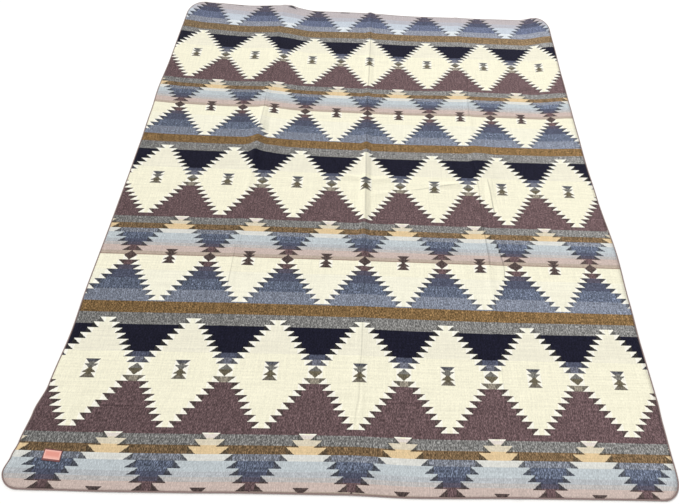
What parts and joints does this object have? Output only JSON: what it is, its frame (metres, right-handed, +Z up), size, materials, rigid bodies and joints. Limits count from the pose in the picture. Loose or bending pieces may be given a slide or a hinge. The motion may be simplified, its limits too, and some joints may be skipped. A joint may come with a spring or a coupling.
{
  "type": "alpaca blanket",
  "caption": "Woven alpaca blanket opened out flat, with toothed diamond rows between stripes, soft fold ridges, rounded corners, a whipped yarn edge and a blank corner label.",
  "frame": {"origin": "on the surface that the blanket lies on, under the middle of its outline", "axes": "+Z up, +Y along the blanket away from the end with the label, +X across it, with the label at -X"},
  "size_m": [1.8801, 2.3213, 0.0259],
  "materials": {
    "woven_cloth": "brushed, matt woven alpaca in cream, black-navy, maroon-brown, gold-brown, greys, blues, pink and peach",
    "edging_yarn": "dull mauve-brown whipped yarn",
    "label_tape": "fine woven pink tape with a dark red-brown border, left blank"
  },
  "bodies": {
    "root": {"woven_panel": "woven_cloth", "yarn_edging": "edging_yarn", "corner_label": "label_tape"}
  },
  "joints": []
}
